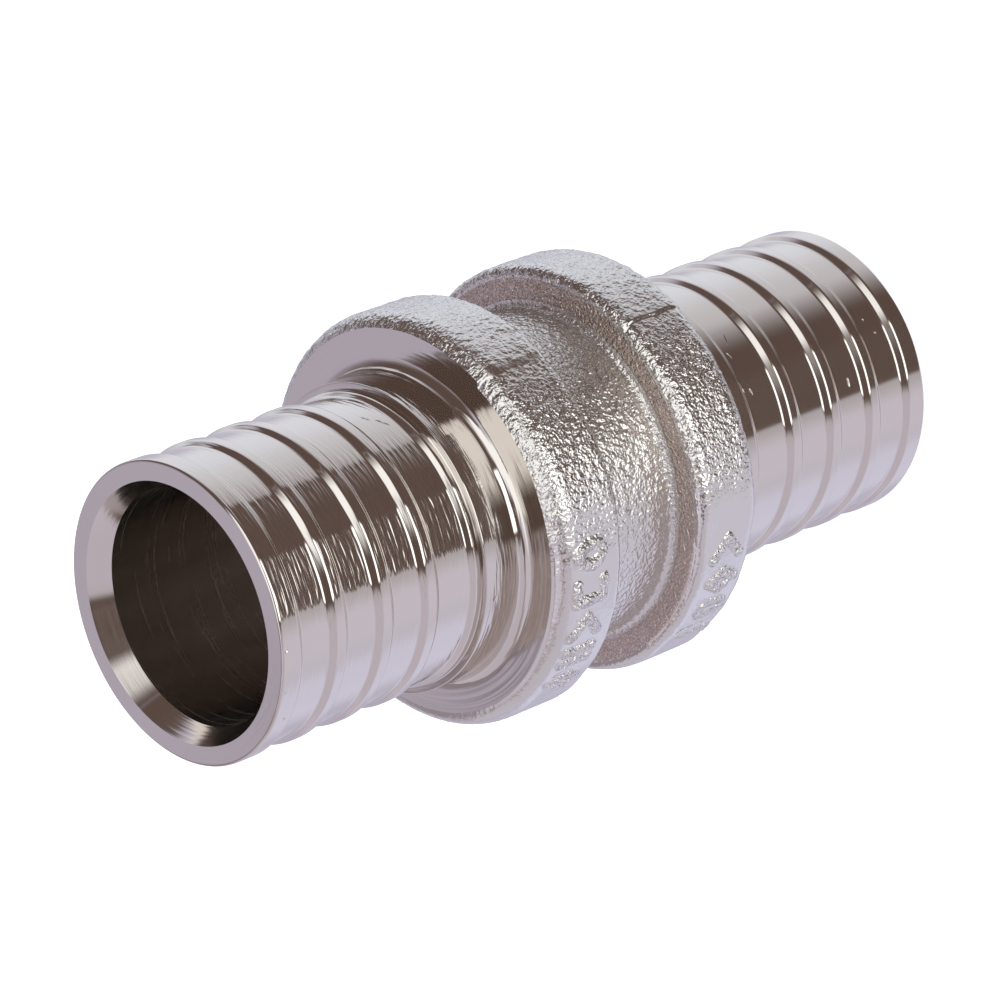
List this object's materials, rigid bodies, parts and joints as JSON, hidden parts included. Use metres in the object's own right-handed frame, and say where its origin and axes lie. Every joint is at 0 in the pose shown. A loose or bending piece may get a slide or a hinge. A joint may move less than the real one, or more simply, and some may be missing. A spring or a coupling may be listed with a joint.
{
  "type": "pex coupling",
  "caption": "Straight press-sleeve pipe coupling: two ribbed tails, two round flanges with a narrower waist between them, plain through bore.",
  "frame": {"origin": "middle of the lower tail's end face, on which the coupling stands", "axes": "+Z along the bore, from the lower tail to the upper one; y = 0 is the parting plane of the forging"},
  "size_m": [0.0368, 0.0367, 0.0768],
  "materials": {
    "nickel_plated_brass": "nickel plated: bright where turned, shot-blasted and sparkling where forged"
  },
  "bodies": {
    "root": {"coupling_body": "nickel_plated_brass"}
  },
  "joints": []
}
